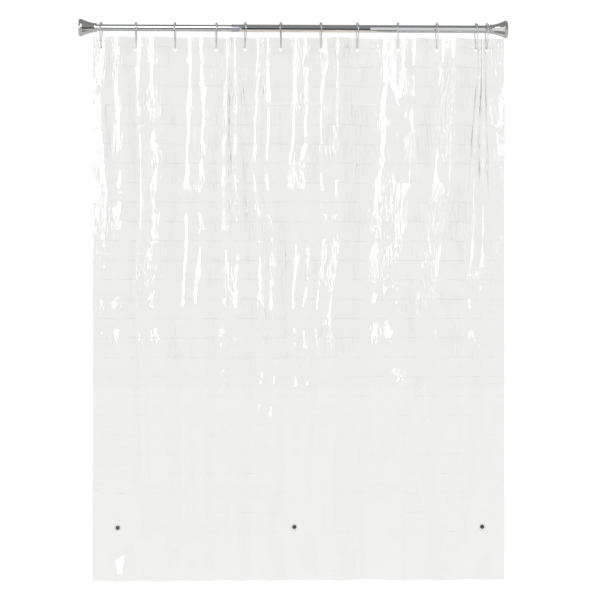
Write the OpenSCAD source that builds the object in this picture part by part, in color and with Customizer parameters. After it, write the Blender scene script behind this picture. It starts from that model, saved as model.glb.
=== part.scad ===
// Clear vinyl shower curtain hung by roller rings from a telescopic tension rod.
// Millimetres. +X runs along the rod, +Z is up, and the front of the curtain faces -Y.
// The origin is the centre of the left wall pad's outer face, on the rod's axis.

/* [Rod] */
// Length of the rod from one wall pad's face to the other's
rod_length = 1448; // [1430:1:1800]
// Outside diameter of the thin inner tube, on the left
inner_tube_d = 22.2; // [19:0.1:22.4]
// Outside diameter of the thick outer tube, on the right
outer_tube_d = 25.4; // [25:0.1:30]
// Wall thickness of both tubes
tube_wall = 0.7; // [0.5:0.1:0.9]
// Distance from the left wall to the outer tube's open end
outer_tube_start = 542; // [500:1:700]
// How far the inner tube reaches inside the outer tube
tube_overlap = 450; // [380:1:480]

/* [Joint collar] */
// Length of the collar's ribbed part, outside the outer tube
collar_length = 27; // [20:1:40]
// Length of the collar's sleeve inside the outer tube
collar_sleeve = 32; // [15:1:50]
// Height of the collar's end ridge above the outer tube
collar_ridge = 0.6; // [0.3:0.1:1.5]
// Number of grooves around the collar
collar_grooves = 3; // [1:1:5]

/* [End caps] */
// Diameter of an end cap's rim, at the wall
cap_rim_d = 58; // [50:1:70]
// Diameter of an end cap's neck, at the tube
cap_neck_d = 30; // [29:1:36]
// Length of an end cap along the rod
cap_length = 59; // [45:1:75]
// Width of the cap's straight rim
cap_rim_width = 12; // [8:1:18]
// Wall thickness of the cap's flare
cap_wall = 1.4; // [1:0.1:2.5]
// How strongly the flare curves: 1 is a straight cone
cap_flare_curve = 1.6; // [1:0.1:3]
// Thickness of a wall pad
pad_thickness = 3; // [2:0.5:5]
// Diameter of a wall pad
pad_d = 50; // [40:1:52]
// Length of the foot's spigot inside the tube
foot_spigot = 30; // [20:1:45]

/* [Tension screw] */
// Outside diameter of the spindle's thread
spindle_d = 8; // [6:0.5:10]
// Pitch of the spindle's thread
spindle_pitch = 3; // [2:0.5:4]
// Length of the spindle
spindle_length = 150; // [140:1:200]
// Length of the threaded plug in the inner tube's end
plug_length = 30; // [20:1:40]
// How far the spindle can screw out before its stop bush meets the plug
screw_travel = 24; // [12:1:26]
// Length of the stop bush
stop_bush_length = 12; // [8:1:16]
// Length of the spring at rest
spring_length = 34; // [30:1:40]
// Thickness of the spring's wire
spring_wire_d = 1.6; // [1:0.1:2]
// Number of turns in the spring
spring_turns = 7; // [5:1:9]
// Length of the lock nut that grips the outer tube
lock_nut_length = 30; // [20:1:36]

/* [Rings] */
// Thickness of a ring's wire
ring_wire_d = 2.8; // [2:0.1:3]
// Height of a ring, between the wire's centres at top and bottom
ring_height = 85; // [75:1:110]
// Radius of a ring's round top, to the wire's centre
ring_top_r = 19.5; // [19.5:0.1:24]
// Radius of a ring's round bottom, to the wire's centre
ring_bottom_r = 7; // [5:0.5:10]
// Diameter of a roller bead
bead_d = 7.6; // [6:0.1:7.8]
// Number of roller beads on a ring
bead_count = 5; // [3:2:5]
// Angle between neighbouring beads around the ring's top
bead_step = 40; // [30:1:42]

/* [Curtain] */
// Distance from the left wall to the sheet's left edge
sheet_left = 48; // [45:1:52]
// Distance that the sheet hangs past the last ring
sheet_overhang = 58; // [40:1:60]
// Height of the sheet
sheet_height = 1829; // [1500:1:2000]
// Thickness of the vinyl
sheet_thickness = 0.25; // [0.1:0.05:0.4]
// Distance from the sheet's top edge to the top of a ring hole
hole_inset = 34; // [25:1:45]
// Diameter of a ring hole
hole_d = 12; // [10:0.5:16]
// Height of the welded band along the top edge
band_height = 50; // [46:1:70]
// Thickness of the welded band
band_thickness = 0.25; // [0.1:0.05:0.5]
// Flat distance between two neighbouring ring holes
hole_pitch = 152.4; // [145:0.1:165]
// The most that a fold stands to the front or to the back
fold_depth = 38; // [10:1:44]

/* [Magnets] */
// Distance from the sheet's bottom edge to a magnet's centre
magnet_rise = 178; // [100:1:250]
// Diameter of a magnet
magnet_d = 13; // [10:0.5:16]
// Thickness of a magnet
magnet_thickness = 2.5; // [1.5:0.5:4]
// Width of the welded rim around a magnet's pocket
patch_rim = 6; // [4:0.5:7]

/* [Hidden] */
$fn = 64;

// Clearances
seat_gap = 0.02;     // between pieces that are pressed together
slide_gap = 0.08;    // between a piece and the bore that it slides or turns in
loose_gap = 0.3;     // between curved faces that pass each other
eps = 0.01;          // how far a cutting shape runs past the face that it cuts

// Where the rings hang along the rod, and how far each has turned on it, left to right.
// Rings up to last_inner_ring hang on the thin tube. The rest have to clear the collar.
ring_x = [74.5, 192, 323.5, 462.7, 560, 680.5, 815.3, 938.9, 1076.4, 1208.5, 1341.9, 1378];
ring_turn = [-9, 8, -7, 6, 9, -8, 7, 9, -6, 8, 10, 10];
last_inner_ring = 4;
ring_total = len(ring_x);

// How the sheet's surplus stands between two rings, left to right: -1 one fold to the front,
// 1 one fold to the back, 2 a fold to the back and then one to the front, -2 the other way round
fold_kinds = [-2, 2, -1, -1, 1, 1, -1, 2, 1, 1, 2];

// Where the magnets sit across the sheet. The folds are shallower down there, by low_fold.
magnet_x = [132, 726.5, 1361];
low_fold = 0.5;

// Rod
inner_r = inner_tube_d / 2;
outer_r = outer_tube_d / 2;
inner_bore_r = inner_r - tube_wall;
outer_bore_r = outer_r - tube_wall;
inner_tube_end = outer_tube_start + tube_overlap;
collar_r = outer_r + collar_ridge;
collar_body_r = outer_r - 0.2;
collar_ridge_width = 3.5;
groove_depth = 0.5;

// End caps: pad_proud is how far the rubber stands out of the metal rim
pad_proud = 1;
foot_disc = 4;
foot_disc_r = pad_d / 2 + 0.6;
tube_inset = pad_thickness + foot_disc;
cap_lip = 0.9;
flare_steps = 24;

// Tension screw, along the rod from left to right
spindle_start = inner_tube_end - plug_length - screw_travel - stop_bush_length - 6;
plug_flange = 2;
spindle_collar_x = inner_tube_end + plug_flange + 4;
spindle_collar_length = 4;
spring_start = spindle_collar_x + spindle_collar_length + seat_gap;
washer_thickness = 1.5;
washer_x = spring_start + spring_length + seat_gap;
lock_nut_x = washer_x + washer_thickness + seat_gap;
spindle_r = spindle_d / 2;
thread_depth = 0.55;
spring_r = spindle_r + spring_wire_d / 2 + 0.8;
spring_sides = 8;
spring_steps_a_turn = 20;

// Rings
wire_r = ring_wire_d / 2;
bead_r = bead_d / 2;
bead_bore_gap = 0.06;
clasp_r = wire_r + 1;
clasp_length = 6;
ferrule_r = wire_r + 0.15;
ferrule_length = 2;
ring_centre_drop = ring_height - ring_top_r - ring_bottom_r;
ring_lean = asin((ring_top_r - ring_bottom_r) / ring_centre_drop);

// Height of the wire's centre at the top of ring i, counted from 1
function ring_top(i) = (i <= last_inner_ring ? inner_r : collar_r) + loose_gap + bead_r;

// Curtain
sheet_right = ring_x[ring_total - 1] + sheet_overhang;
function hole_top(i) = ring_top(i) - ring_height + wire_r + loose_gap;
sheet_top = hole_top(ring_total) + hole_inset;
sheet_bottom = sheet_top - sheet_height;
fold_steps = 16;
patch_r = magnet_d / 2 + patch_rim;
patch_flat = 2;
patch_fade = 14;
pocket_wall = 0.4;
patch_thickness = 0.3;
magnet_z = sheet_bottom + magnet_rise;

// Which bay between two rings holds the distance x along the rod, counted from 0
function bay_of(x) = max([for (i = [0 : ring_total - 2]) x >= ring_x[i] ? i : 0]);

// Depth of bay i's folds: what is left of the hole pitch over the distance between its rings
function bay_depth(i) =
    let (chord = ring_x[i + 1] - ring_x[i])
        min(fold_depth, 0.46 * sqrt(pow(hole_pitch, 2) - pow(chord, 2))) / abs(fold_kinds[i]);

// The sheet's line seen from above, where nothing holds it flat. It runs straight ahead at each
// ring, so that the ring's wire passes squarely through its hole.
function free_y(x) =
    let (
        i = bay_of(x),
        share = (x - ring_x[i]) / (ring_x[i + 1] - ring_x[i]),
        wave = sin(180 * abs(fold_kinds[i]) * share)
    )
        x >= ring_x[ring_total - 1] ? 0 : sign(fold_kinds[i]) * bay_depth(i) * wave * abs(wave);
function magnet_y(m) = low_fold * free_y(m);

// The same line, brought flat to each magnet's pocket
function away_from(x, m) = max(0, min(1, (abs(x - m) - patch_r - patch_flat) / patch_fade));
function sheet_y(x) =
    let (
        left = min([for (m = magnet_x) away_from(x, m)]),
        held = max([for (m = magnet_x) away_from(x, m) < 1 ? m : 0])
    )
        held == 0 ? free_y(x) : left * free_y(x) + (1 - left) * magnet_y(held);

// Points along the line: even steps in each bay, and the ends of each magnet's flat stretch
flat_ends = [for (m = magnet_x, side = [-1, 1]) m + side * (patch_r + patch_flat)];
function fold_x(i, k) = ring_x[i] + k / fold_steps * (ring_x[i + 1] - ring_x[i]);
bay_line_x = [
    for (i = [0 : ring_total - 2], k = [0 : fold_steps - 1]) each [
        fold_x(i, k),
        each [for (end = flat_ends) if (end > fold_x(i, k) && end < fold_x(i, k + 1)) end]
    ]
];
sheet_line = [
    [sheet_left, 0],
    each [for (x = bay_line_x) [x, sheet_y(x)]],
    [ring_x[ring_total - 1], 0],
    [sheet_right, 0]
];

// A strip that follows the sheet's line, from one distance behind the line to another
module strip(near, far, low, high) {
    count = len(sheet_line);
    there = [for (p = sheet_line) [p[0], p[1] + near]];
    back = [for (k = [1 : count]) [sheet_line[count - k][0], sheet_line[count - k][1] + far]];
    translate([0, 0, low]) linear_extrude(high - low) polygon(concat(there, back));
}

module ring_holes() {
    for (i = [1 : ring_total])
        translate([ring_x[i - 1], 0, hole_top(i) - hole_d / 2])
            rotate([90, 0, 0]) cylinder(h = 4 * fold_depth, d = hole_d, center = true);
}

// A round bar along +X
module bar(x, length, r) {
    translate([x, 0, 0]) rotate([0, 90, 0]) cylinder(h = length, r = r);
}

module tube_piece(x, length, r, bore_r) {
    difference() {
        bar(x, length, r);
        bar(x - eps, length + 2 * eps, bore_r);
    }
}

// A turned shape about the rod's axis, from points given as [distance along the rod, radius]
module turned(points) {
    rotate([0, 90, 0]) rotate([0, 0, 90])
        rotate_extrude() polygon([for (p = points) [p[1], p[0]]]);
}

module wall_pad() {
    groove = 1.2;
    difference() {
        bar(0, pad_thickness, pad_d / 2);
        for (r = [pad_d / 2 - 4 : -5 : 8])
            translate([-eps, 0, 0]) rotate([0, 90, 0]) difference() {
                cylinder(h = groove, r = r);
                translate([0, 0, -eps]) cylinder(h = groove + 2 * eps, r = r - 1.5);
            }
    }
}

module foot(bore_r) {
    difference() {
        union() {
            bar(pad_thickness, foot_disc, foot_disc_r);
            bar(pad_thickness, foot_disc + foot_spigot, bore_r - seat_gap);
        }
        bar(tube_inset + 2, foot_spigot, bore_r - 2.5);
    }
}

// Outside radius of the cap's flare, at a share of the way from the rim to the neck
function flare_r(share) =
    cap_neck_d / 2 + (cap_rim_d / 2 - 2 - cap_neck_d / 2) * pow(1 - share, cap_flare_curve);
function flare_x(share) = pad_proud + cap_rim_width + share * (cap_length - cap_rim_width - 3);
cap_end = pad_proud + cap_length;

module cap(tube_r) {
    rim_r = cap_rim_d / 2;
    flare_end = flare_x(1);
    outside = [
        [pad_proud, 0],
        [pad_proud, rim_r - 1.5],
        [pad_proud + 0.5, rim_r - 0.5],
        [pad_proud + 1.5, rim_r],
        [pad_proud + cap_rim_width - 2.5, rim_r],
        [pad_proud + cap_rim_width - 1, rim_r - 0.6],
        each [for (k = [0 : flare_steps]) [flare_x(k / flare_steps), flare_r(k / flare_steps)]],
        [flare_end + 0.5, cap_neck_d / 2 + cap_lip],
        [flare_end + 2, cap_neck_d / 2 + cap_lip],
        [cap_end, cap_neck_d / 2 - 0.8],
        [cap_end, 0]
    ];
    hollow = [
        [0, 0],
        [0, foot_disc_r + seat_gap],
        [tube_inset, foot_disc_r + seat_gap],
        each [for (k = [0 : flare_steps - 6])
            [flare_x(k / flare_steps), max(flare_r(k / flare_steps) - cap_wall, tube_r + seat_gap)]],
        [flare_end, tube_r + seat_gap],
        [cap_end + eps, tube_r + seat_gap],
        [cap_end + eps, 0]
    ];
    difference() {
        turned(outside);
        turned(hollow);
    }
}

// Puts a left-hand piece at the rod's right-hand end
module at_right() {
    translate([rod_length, 0, 0]) mirror([1, 0, 0]) children();
}

module left_wall_pad() {
    color("dimgray") wall_pad();
}

module left_foot() {
    color("gainsboro") foot(inner_bore_r);
}

module left_cap() {
    color("silver") cap(inner_r);
}

module right_wall_pad() {
    color("dimgray") at_right() wall_pad();
}

module right_foot() {
    color("gainsboro") at_right() foot(outer_bore_r);
}

module right_cap() {
    color("silver") at_right() cap(outer_r);
}

module inner_tube() {
    color("silver") tube_piece(tube_inset, inner_tube_end - tube_inset, inner_r, inner_bore_r);
}

module outer_tube() {
    length = rod_length - tube_inset - outer_tube_start;
    color("silver") tube_piece(outer_tube_start, length, outer_r, outer_bore_r);
}

// Ribbed collar at the outer tube's open end: its sleeve centres the inner tube
module joint_collar() {
    start = outer_tube_start - collar_length;
    rib = (collar_length - collar_ridge_width) / (2 * collar_grooves + 1);
    color("gainsboro") difference() {
        union() {
            bar(start, collar_length, collar_body_r);
            bar(start, collar_ridge_width, collar_r);
            bar(start, collar_length + collar_sleeve, outer_bore_r - seat_gap);
        }
        bar(start - eps, collar_length + collar_sleeve + 2 * eps, inner_r + slide_gap);
        for (k = [0 : collar_grooves - 1])
            tube_piece(
                start + collar_ridge_width + rib * (2 * k + 1), rib,
                collar_r + 1, collar_body_r - groove_depth
            );
    }
}

// Plug in the inner tube's end: its bore is the nut that the spindle turns in
module spindle_plug() {
    start = inner_tube_end - plug_length;
    color("darkgray") difference() {
        union() {
            bar(start, plug_length, inner_bore_r - seat_gap);
            bar(inner_tube_end, plug_flange, inner_r);
        }
        bar(start - eps, plug_length + plug_flange + 2 * eps, spindle_r + slide_gap);
    }
}

// Bush at the spindle's inner end: it slides in the inner tube and stops at the plug
module stop_bush() {
    color("white") tube_piece(
        spindle_start + 2, stop_bush_length, inner_bore_r - slide_gap, spindle_r + slide_gap
    );
}

module threaded_spindle() {
    turns = floor((spindle_collar_x - spindle_start - 1) / spindle_pitch);
    thread = [
        for (k = [0 : turns - 1]) each [
            [spindle_start + 1 + k * spindle_pitch, spindle_r - thread_depth],
            [spindle_start + 1 + (k + 0.5) * spindle_pitch, spindle_r]
        ]
    ];
    color("lightsteelblue") union() {
        turned([
            [spindle_start, 0],
            [spindle_start, spindle_r - thread_depth],
            each thread,
            [spindle_collar_x, spindle_r - thread_depth],
            [spindle_start + spindle_length, spindle_r - thread_depth],
            [spindle_start + spindle_length, 0]
        ]);
        bar(spindle_collar_x, spindle_collar_length, spring_r + 1);
        bar(spindle_start + spindle_length - 2, 2, spindle_r);
    }
}

module spindle_washer() {
    color("lightsteelblue") tube_piece(washer_x, washer_thickness, spring_r + 2, spindle_r);
}

// Round wire wound about the spindle, swept as one closed skin
module tension_spring() {
    steps = spring_turns * spring_steps_a_turn;
    wire = spring_wire_d / 2;
    rise = (spring_length - 2 * wire) / steps;
    points = [
        for (k = [0 : steps], s = [0 : spring_sides - 1])
            let (turn = 360 * k / spring_steps_a_turn, side = 360 * s / spring_sides)
                [
                    spring_start + wire + k * rise + wire * sin(side),
                    (spring_r + wire * cos(side)) * cos(turn),
                    (spring_r + wire * cos(side)) * sin(turn)
                ]
    ];
    skin = [
        for (k = [0 : steps - 1], s = [0 : spring_sides - 1])
            let (a = k * spring_sides, next = (s + 1) % spring_sides)
                [a + s, a + next, a + spring_sides + next, a + spring_sides + s]
    ];
    first_end = [for (s = [0 : spring_sides - 1]) spring_sides - 1 - s];
    last_end = [for (s = [0 : spring_sides - 1]) steps * spring_sides + s];
    color("slategray") polyhedron(points, concat([first_end], skin, [last_end]), convexity = 10);
}

// Split nut on the spindle: it grips the outer tube's bore when the rod is twisted
module lock_nut() {
    slot = 1.5;
    color("white") difference() {
        bar(lock_nut_x, lock_nut_length, outer_bore_r - slide_gap);
        bar(lock_nut_x - eps, lock_nut_length + 2 * eps, spindle_r);
        translate([lock_nut_x + lock_nut_length / 3, -slot / 2, spindle_r + 1.5])
            cube([lock_nut_length, slot, outer_r]);
        translate([lock_nut_x + lock_nut_length / 3, -slot / 2, -outer_r - spindle_r - 1.5])
            cube([lock_nut_length, slot, outer_r]);
    }
}

module liner_sheet() {
    half = sheet_thickness / 2;
    color("whitesmoke") difference() {
        strip(-half, half, sheet_bottom, sheet_top);
        ring_holes();
    }
}

module header_band() {
    half = sheet_thickness / 2;
    color("lightgray") difference() {
        strip(-half - band_thickness, -half, sheet_top - band_height, sheet_top);
        ring_holes();
    }
}

// Turns a piece that stands along +Z so that it stands out of the sheet's back at magnet i
module on_sheet_back(i) {
    m = magnet_x[i - 1];
    translate([m, magnet_y(m) + sheet_thickness / 2 + 0.05, magnet_z])
        rotate([-90, 0, 0]) children();
}

module magnet(i) {
    color("black") on_sheet_back(i) cylinder(h = magnet_thickness, d = magnet_d);
}

// Welded vinyl pocket over a magnet
module magnet_patch(i) {
    pocket_r = magnet_d / 2 + seat_gap;
    pocket_h = magnet_thickness + seat_gap;
    color("gainsboro") on_sheet_back(i) difference() {
        union() {
            cylinder(h = patch_thickness, r = patch_r);
            cylinder(h = pocket_h + pocket_wall, r = pocket_r + pocket_wall);
        }
        translate([0, 0, -eps]) cylinder(h = pocket_h + eps, r = pocket_r);
    }
}

// Moves a ring drawn in the XY plane, with its top arc's centre at the origin, to its place
module at_ring(i) {
    translate([ring_x[i - 1], 0, ring_top(i) - ring_top_r])
        rotate([0, 0, ring_turn[i - 1]]) rotate([90, 0, 90]) children();
}

// Round wire bent through an arc, from one angle to another
module wire_arc(arc_r, from, to, r) {
    rotate([0, 0, from])
        rotate_extrude(angle = to - from) translate([arc_r, 0]) circle(r = r, $fn = 24);
}

// One straight leg of the ring, on side +1 or -1, with the ferrule that joins it to the hook
module ring_leg(side) {
    leg = ring_centre_drop * cos(ring_lean);
    mirror([side < 0 ? 1 : 0, 0, 0]) rotate([0, 0, -ring_lean]) translate([ring_top_r, 0, 0])
        rotate([90, 0, 0]) {
            cylinder(h = leg, r = wire_r, $fn = 24);
            translate([0, 0, leg - ferrule_length / 2])
                cylinder(h = ferrule_length, r = ferrule_r, $fn = 24);
        }
}

module ring_wire(i) {
    clasp_drop = ring_centre_drop * 0.55;
    color("lightsteelblue") at_ring(i) union() {
        wire_arc(ring_top_r, -ring_lean, 180 + ring_lean, wire_r);
        ring_leg(1);
        ring_leg(-1);
        translate([0, -ring_centre_drop, 0])
            wire_arc(ring_bottom_r, 180 + ring_lean, 360 - ring_lean, wire_r);
        rotate([0, 0, -ring_lean]) translate([ring_top_r, -clasp_drop, 0])
            rotate([90, 0, 0]) cylinder(h = clasp_length, r = clasp_r, $fn = 24);
    }
}

module ring_rollers(i) {
    spread = (bead_count - 1) / 2;
    color("silver") at_ring(i)
        for (k = [-spread : spread])
            rotate([0, 0, 90 + k * bead_step]) difference() {
                translate([ring_top_r, 0, 0]) sphere(r = bead_r, $fn = 32);
                wire_arc(ring_top_r, -bead_step / 2, bead_step / 2, wire_r + bead_bore_gap);
            }
}

left_wall_pad();
left_foot();
left_cap();
inner_tube();
spindle_plug();
stop_bush();
threaded_spindle();
spindle_washer();
tension_spring();
lock_nut();
outer_tube();
joint_collar();
right_foot();
right_cap();
right_wall_pad();
liner_sheet();
header_band();
for (i = [1 : len(magnet_x)]) {
    magnet(i);
    magnet_patch(i);
}
for (i = [1 : ring_total]) {
    ring_wire(i);
    ring_rollers(i);
}
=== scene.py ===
"""Clear vinyl shower curtain, hung by roller rings from a telescopic tension rod.

The CAD model gives every place and size. This script dresses it: the sheet and its top band
are made from a fold model, the magnet pockets and the rod's visible metal are modelled afresh,
and each finish is a procedural material.
"""

from __future__ import annotations

import logging
import math
from dataclasses import dataclass, field
from enum import Enum

import bmesh
import bpy
import numpy as np
from mathutils import Matrix, Vector


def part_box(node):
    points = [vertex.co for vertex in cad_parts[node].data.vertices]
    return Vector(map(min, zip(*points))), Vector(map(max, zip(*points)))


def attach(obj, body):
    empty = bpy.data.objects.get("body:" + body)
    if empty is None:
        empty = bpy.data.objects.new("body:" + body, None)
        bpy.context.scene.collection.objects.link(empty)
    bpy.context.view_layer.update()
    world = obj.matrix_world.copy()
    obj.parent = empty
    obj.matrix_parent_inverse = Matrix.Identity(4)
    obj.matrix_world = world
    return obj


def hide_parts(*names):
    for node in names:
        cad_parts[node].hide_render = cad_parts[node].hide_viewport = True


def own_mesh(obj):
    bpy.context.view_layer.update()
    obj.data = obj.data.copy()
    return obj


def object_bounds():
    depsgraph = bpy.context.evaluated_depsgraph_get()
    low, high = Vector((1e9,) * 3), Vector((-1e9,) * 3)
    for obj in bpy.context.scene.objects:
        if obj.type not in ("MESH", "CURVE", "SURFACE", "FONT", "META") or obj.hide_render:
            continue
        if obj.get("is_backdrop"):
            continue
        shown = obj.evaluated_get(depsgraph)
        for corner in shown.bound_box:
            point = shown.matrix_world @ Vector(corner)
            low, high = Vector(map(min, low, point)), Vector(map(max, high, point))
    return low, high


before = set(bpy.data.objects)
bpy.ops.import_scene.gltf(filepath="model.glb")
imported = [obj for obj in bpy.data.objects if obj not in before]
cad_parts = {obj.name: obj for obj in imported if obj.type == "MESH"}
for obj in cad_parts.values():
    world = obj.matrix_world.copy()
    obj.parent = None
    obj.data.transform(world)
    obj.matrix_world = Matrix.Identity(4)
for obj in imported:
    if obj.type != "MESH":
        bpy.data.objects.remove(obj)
LOG = logging.getLogger("shower_curtain")
MM = 0.001


# ---------------------------------------------------------------- shared helpers


def linear(hex_colour: str, alpha: float = 1.0) -> tuple[float, float, float, float]:
    """Turn an sRGB hex colour into the linear colour that a shader takes.

    Args:
        hex_colour: Six hex digits, with or without a leading #.
        alpha: The fourth number of the result.

    Returns:
        Red, green, blue and alpha.
    """
    digits = hex_colour.lstrip("#")
    parts = [int(digits[i : i + 2], 16) / 255 for i in (0, 2, 4)]
    r, g, b = (c / 12.92 if c <= 0.04045 else ((c + 0.055) / 1.055) ** 2.4 for c in parts)
    return r, g, b, alpha


def add_node(
    tree: bpy.types.NodeTree,
    kind: str,
    settings: dict | None = None,
    inputs: dict | None = None,
    links: dict | None = None,
) -> bpy.types.Node:
    """Add one shader node with its settings and links.

    Args:
        tree: The node tree that gets the node.
        kind: The node's type, such as "ShaderNodeBump".
        settings: Properties of the node itself.
        inputs: Values for its input sockets.
        links: Sockets of other nodes that feed its input sockets.

    Returns:
        The new node.
    """
    node = tree.nodes.new(kind)
    for name, value in (settings or {}).items():
        setattr(node, name, value)
    for name, value in (inputs or {}).items():
        node.inputs[name].default_value = value
    for name, source in (links or {}).items():
        tree.links.new(source, node.inputs[name])
    return node


def new_material(name: str) -> tuple[bpy.types.Material, bpy.types.NodeTree, bpy.types.Node]:
    """Start a material with one Principled shader.

    Args:
        name: What the material is, in a maker's words.

    Returns:
        The material, its node tree and its shader node.
    """
    material = bpy.data.materials.new(name)
    material.use_nodes = True
    tree = material.node_tree
    return material, tree, tree.nodes["Principled BSDF"]


def deselect_all() -> None:
    """Leave object mode with nothing selected, as operators act on all that is selected."""
    if bpy.context.object and bpy.context.object.mode != "OBJECT":
        bpy.ops.object.mode_set(mode="OBJECT")
    bpy.ops.object.select_all(action="DESELECT")


def mesh_piece(
    name: str, vertices: np.ndarray, faces: list, smooth: bool = True
) -> bpy.types.Object:
    """Make a mesh object from points and faces.

    Args:
        name: The piece's name.
        vertices: An array of points, in metres.
        faces: Lists of point numbers.
        smooth: Whether its faces are shaded smooth.

    Returns:
        The new object, linked to the scene.
    """
    mesh = bpy.data.meshes.new(name)
    mesh.from_pydata([tuple(v) for v in vertices], [], faces)
    mesh.update()
    if smooth:
        mesh.polygons.foreach_set("use_smooth", [True] * len(mesh.polygons))
    piece = bpy.data.objects.new(name, mesh)
    bpy.context.scene.collection.objects.link(piece)
    return piece


def place(piece: bpy.types.Object, body: str, replaced: list[str]) -> bpy.types.Object:
    """Tie a finished piece to its CAD body and the CAD nodes that it stands for.

    Args:
        piece: The finished piece.
        body: The CAD body that it rides on.
        replaced: CAD nodes that it replaces.

    Returns:
        The same piece.
    """
    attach(piece, body)
    if replaced:
        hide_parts(*replaced)
    return piece


# ---------------------------------------------------------------- finishes


@dataclass(frozen=True)
class ClearVinyl:
    """Calendered flexible PVC film: water-clear, glossy, with faint packing wrinkles.

    Full transmission with almost no roughness makes it clear. The relief turns its gloss: fine
    upright wrinkles in patches and broad facets, both of which start afresh at every crease
    across the sheet and calm down towards its foot.
    """

    name: str
    tint: str
    roughness: float
    wrinkle_mm: float
    wrinkle_height_mm: float
    facet_share: float = 0.0
    wrinkle_upright: float = 0.24
    facet_mm: float = 34.0
    facet_upright: float = 0.15
    panel_mm: float = 65.3
    panel_jump: float = 3.7
    patch_scale: float = 7.0
    haze_scale: float = 9.0
    calm_from: float = -0.85
    calm_to: float = -1.3
    ior: float = 1.53

    @staticmethod
    def maths(
        tree: bpy.types.NodeTree, operation: str, *values: bpy.types.NodeSocket | float
    ) -> bpy.types.NodeSocket:
        """Add one Math node.

        Args:
            tree: The node tree that gets the node.
            operation: What it does.
            values: A socket or a number for each of its inputs, in order.

        Returns:
            Its result.
        """
        node = add_node(tree, "ShaderNodeMath", {"operation": operation})
        for place_in, value in zip(node.inputs, values):
            if isinstance(value, float):
                place_in.default_value = value
            else:
                tree.links.new(value, place_in)
        return node.outputs["Value"]

    @staticmethod
    def layer(
        tree: bpy.types.NodeTree,
        where: bpy.types.NodeSocket,
        panel: bpy.types.NodeSocket,
        size_mm: float,
        upright: float,
        detail: float,
    ) -> bpy.types.NodeSocket:
        """Add one layer of upright unevenness that starts afresh at each crease across the sheet.

        Args:
            tree: The node tree that gets the nodes.
            where: The place on the sheet.
            panel: A number for the panel between two creases.
            size_mm: Width of its waves, in millimetres.
            upright: How fast it changes up the sheet, as a share of across it.
            detail: How many finer layers it has.

        Returns:
            Its height, from 0 to 1.
        """
        stretch = add_node(
            tree,
            "ShaderNodeMapping",
            inputs={"Scale": (1.0, 1.0, upright)},
            links={"Vector": where},
        )
        noise = add_node(
            tree,
            "ShaderNodeTexNoise",
            {"noise_dimensions": "4D"},
            {"Scale": 1 / (size_mm * MM), "Detail": detail, "Roughness": 0.5},
            {"Vector": stretch.outputs["Vector"], "W": panel},
        )
        return noise.outputs["Fac"]

    def material(self) -> bpy.types.Material:
        """Build the film's material.

        Returns:
            The new material.
        """
        material, tree, shader = new_material(self.name)
        coords = add_node(tree, "ShaderNodeTexCoord")
        where_on = coords.outputs["Object"]
        split = add_node(tree, "ShaderNodeSeparateXYZ", links={"Vector": where_on})
        panel = self.maths(tree, "MULTIPLY", split.outputs["Z"], 1 / (self.panel_mm * MM))
        panel = self.maths(tree, "FLOOR", panel)
        panel = self.maths(tree, "MULTIPLY", panel, self.panel_jump)
        wrinkles = self.layer(
            tree, where_on, panel, self.wrinkle_mm, self.wrinkle_upright, 1.5
        )
        facets = self.layer(tree, where_on, panel, self.facet_mm, self.facet_upright, 0.0)
        patches = add_node(
            tree,
            "ShaderNodeTexNoise",
            inputs={"Scale": self.patch_scale, "Detail": 1.0},
            links={"Vector": where_on},
        )
        where = add_node(
            tree,
            "ShaderNodeMapRange",
            inputs={"From Min": 0.42, "From Max": 0.66, "To Min": 0.06, "To Max": 1.0},
            links={"Value": patches.outputs["Fac"]},
        )
        relief = self.maths(tree, "MULTIPLY", wrinkles, where.outputs["Result"])
        turning = self.maths(tree, "MULTIPLY", facets, self.facet_share)
        relief = self.maths(tree, "ADD", relief, turning)
        calm = add_node(
            tree,
            "ShaderNodeMapRange",
            inputs={
                "From Min": self.calm_to,
                "From Max": self.calm_from,
                "To Min": 0.25,
                "To Max": 1.0,
            },
            links={"Value": split.outputs["Z"]},
        )
        relief = self.maths(tree, "MULTIPLY", relief, calm.outputs["Result"])
        haze = add_node(
            tree,
            "ShaderNodeTexNoise",
            inputs={"Scale": self.haze_scale, "Detail": 3.0},
            links={"Vector": where_on},
        )
        sheen = add_node(
            tree,
            "ShaderNodeMapRange",
            inputs={"To Min": self.roughness * 0.7, "To Max": self.roughness * 1.4},
            links={"Value": haze.outputs["Fac"]},
        )
        bump = add_node(
            tree,
            "ShaderNodeBump",
            inputs={"Strength": 1.0, "Distance": self.wrinkle_height_mm * MM},
            links={"Height": relief},
        )
        shader.inputs["Base Color"].default_value = linear(self.tint)
        shader.inputs["Transmission Weight"].default_value = 1.0
        shader.inputs["IOR"].default_value = self.ior
        tree.links.new(sheen.outputs["Result"], shader.inputs["Roughness"])
        tree.links.new(bump.outputs["Normal"], shader.inputs["Normal"])
        return material


@dataclass(frozen=True)
class Chrome:
    """Decorative chromium over bright nickel: a near-perfect mirror, very slightly bluish.

    Full metal with little roughness shows the studio; a slow noise in the roughness gives the
    soft unevenness of polished plate.
    """

    name: str
    colour: str
    roughness: float
    grain_mm: float

    def material(self) -> bpy.types.Material:
        """Build the plated metal's material.

        Returns:
            The new material.
        """
        material, tree, shader = new_material(self.name)
        coords = add_node(tree, "ShaderNodeTexCoord")
        wear = add_node(
            tree,
            "ShaderNodeTexNoise",
            inputs={"Scale": 1 / (self.grain_mm * MM), "Detail": 4.0},
            links={"Vector": coords.outputs["Object"]},
        )
        polish = add_node(
            tree,
            "ShaderNodeMapRange",
            inputs={"To Min": self.roughness * 0.6, "To Max": self.roughness * 1.5},
            links={"Value": wear.outputs["Fac"]},
        )
        shader.inputs["Base Color"].default_value = linear(self.colour)
        shader.inputs["Metallic"].default_value = 1.0
        tree.links.new(polish.outputs["Result"], shader.inputs["Roughness"])
        return material


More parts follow.
